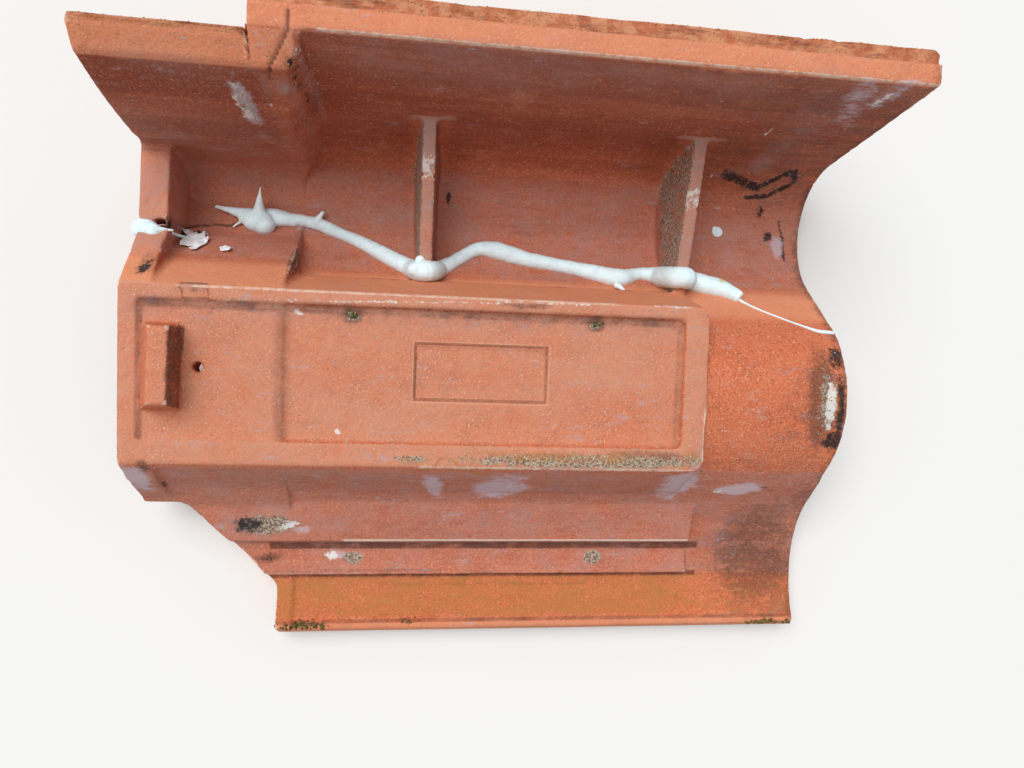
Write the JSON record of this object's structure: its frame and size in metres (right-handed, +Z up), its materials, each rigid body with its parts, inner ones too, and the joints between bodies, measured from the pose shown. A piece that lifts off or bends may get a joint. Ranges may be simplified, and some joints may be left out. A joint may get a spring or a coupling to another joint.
{
  "type": "clay roof tile",
  "caption": "Waved interlocking clay roof tile with a tall verge flange, lying face down; ribbed underside with raised panel, hanging nib and a bead of old repair glue.",
  "frame": {"origin": "centre of the bounding box in X and Y, on the floor that the tile's crowns rest on", "axes": "+X along the tile from head (nib end) to tail, +Y across it towards the verge flange, +Z up out of the underside; the weather face is down"},
  "size_m": [0.392, 0.314, 0.143],
  "materials": {
    "fired_clay": "matte, weathered",
    "adhesive": "matte, dusty"
  },
  "bodies": {
    "root": {"roof_tile": "fired_clay", "adhesive_bead": "adhesive", "adhesive_blob": "adhesive"}
  },
  "joints": []
}
